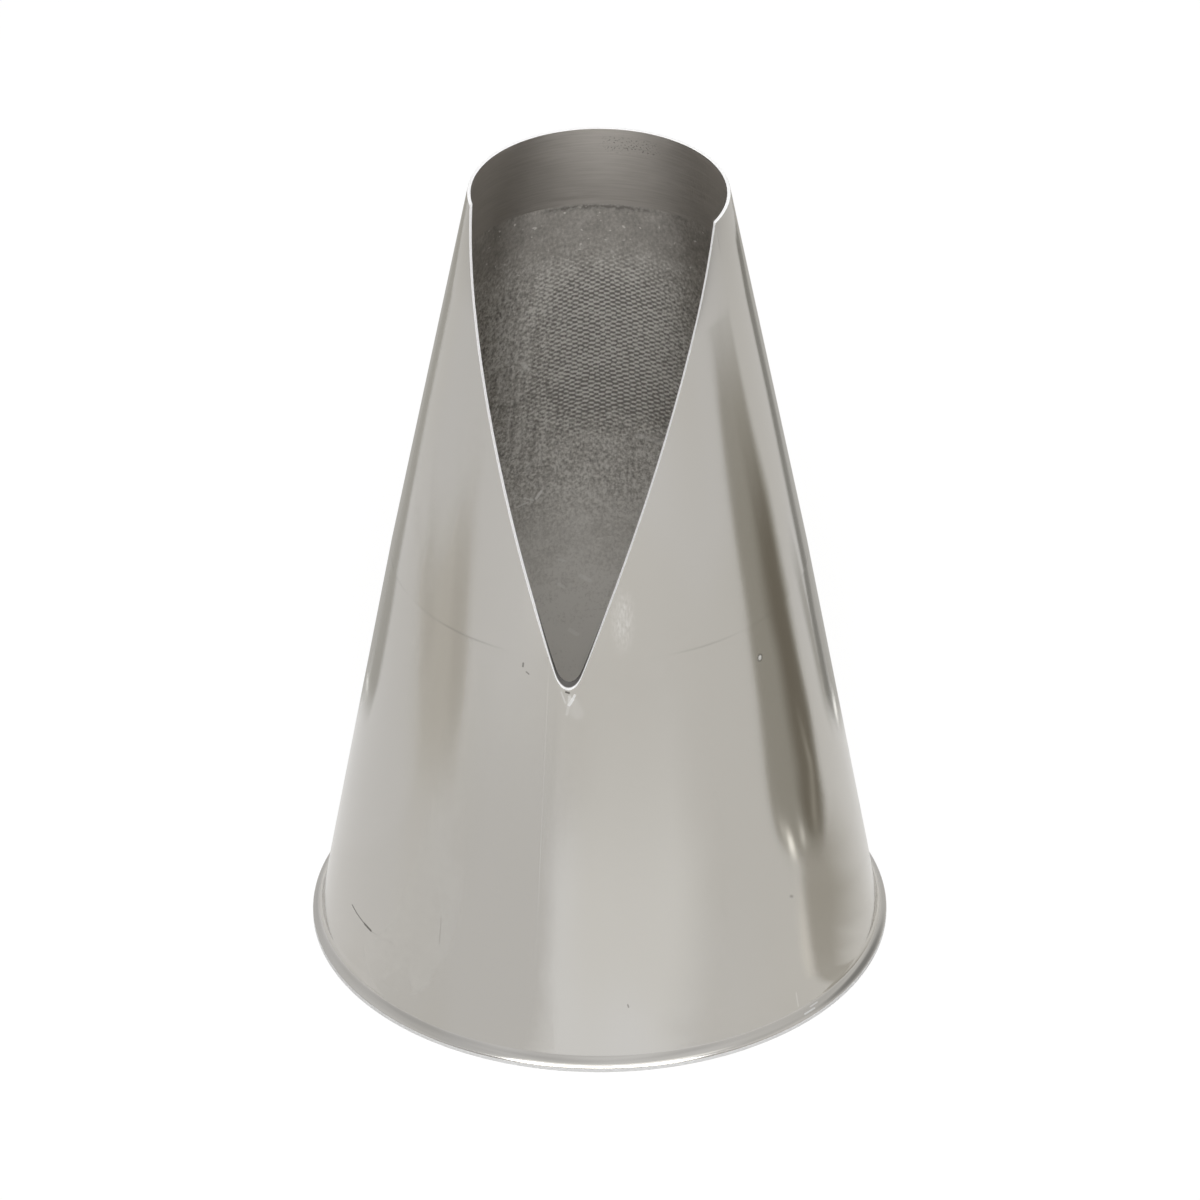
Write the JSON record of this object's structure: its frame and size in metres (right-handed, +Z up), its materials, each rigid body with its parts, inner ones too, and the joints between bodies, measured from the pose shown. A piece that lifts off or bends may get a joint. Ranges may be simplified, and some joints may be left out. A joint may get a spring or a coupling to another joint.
{
  "type": "piping nozzle",
  "caption": "Large conical pastry piping nozzle in thin polished steel, open at both ends, with a deep V notch in the front wall and a small turned-out foot.",
  "frame": {"origin": "centre of the foot, on the surface that the nozzle stands on", "axes": "+Z up the nozzle's axis from the foot to the mouth, -Y towards the V notch, +X to the right seen from the notch's side"},
  "size_m": [0.035, 0.035, 0.0502],
  "materials": {
    "stainless_steel": "polished outside, matt and lightly dimpled inside, burnished inside the mouth"
  },
  "bodies": {
    "root": {"foot": "stainless_steel", "skirt": "stainless_steel", "upper_wall": "stainless_steel", "mouth_band": "stainless_steel"}
  },
  "joints": []
}
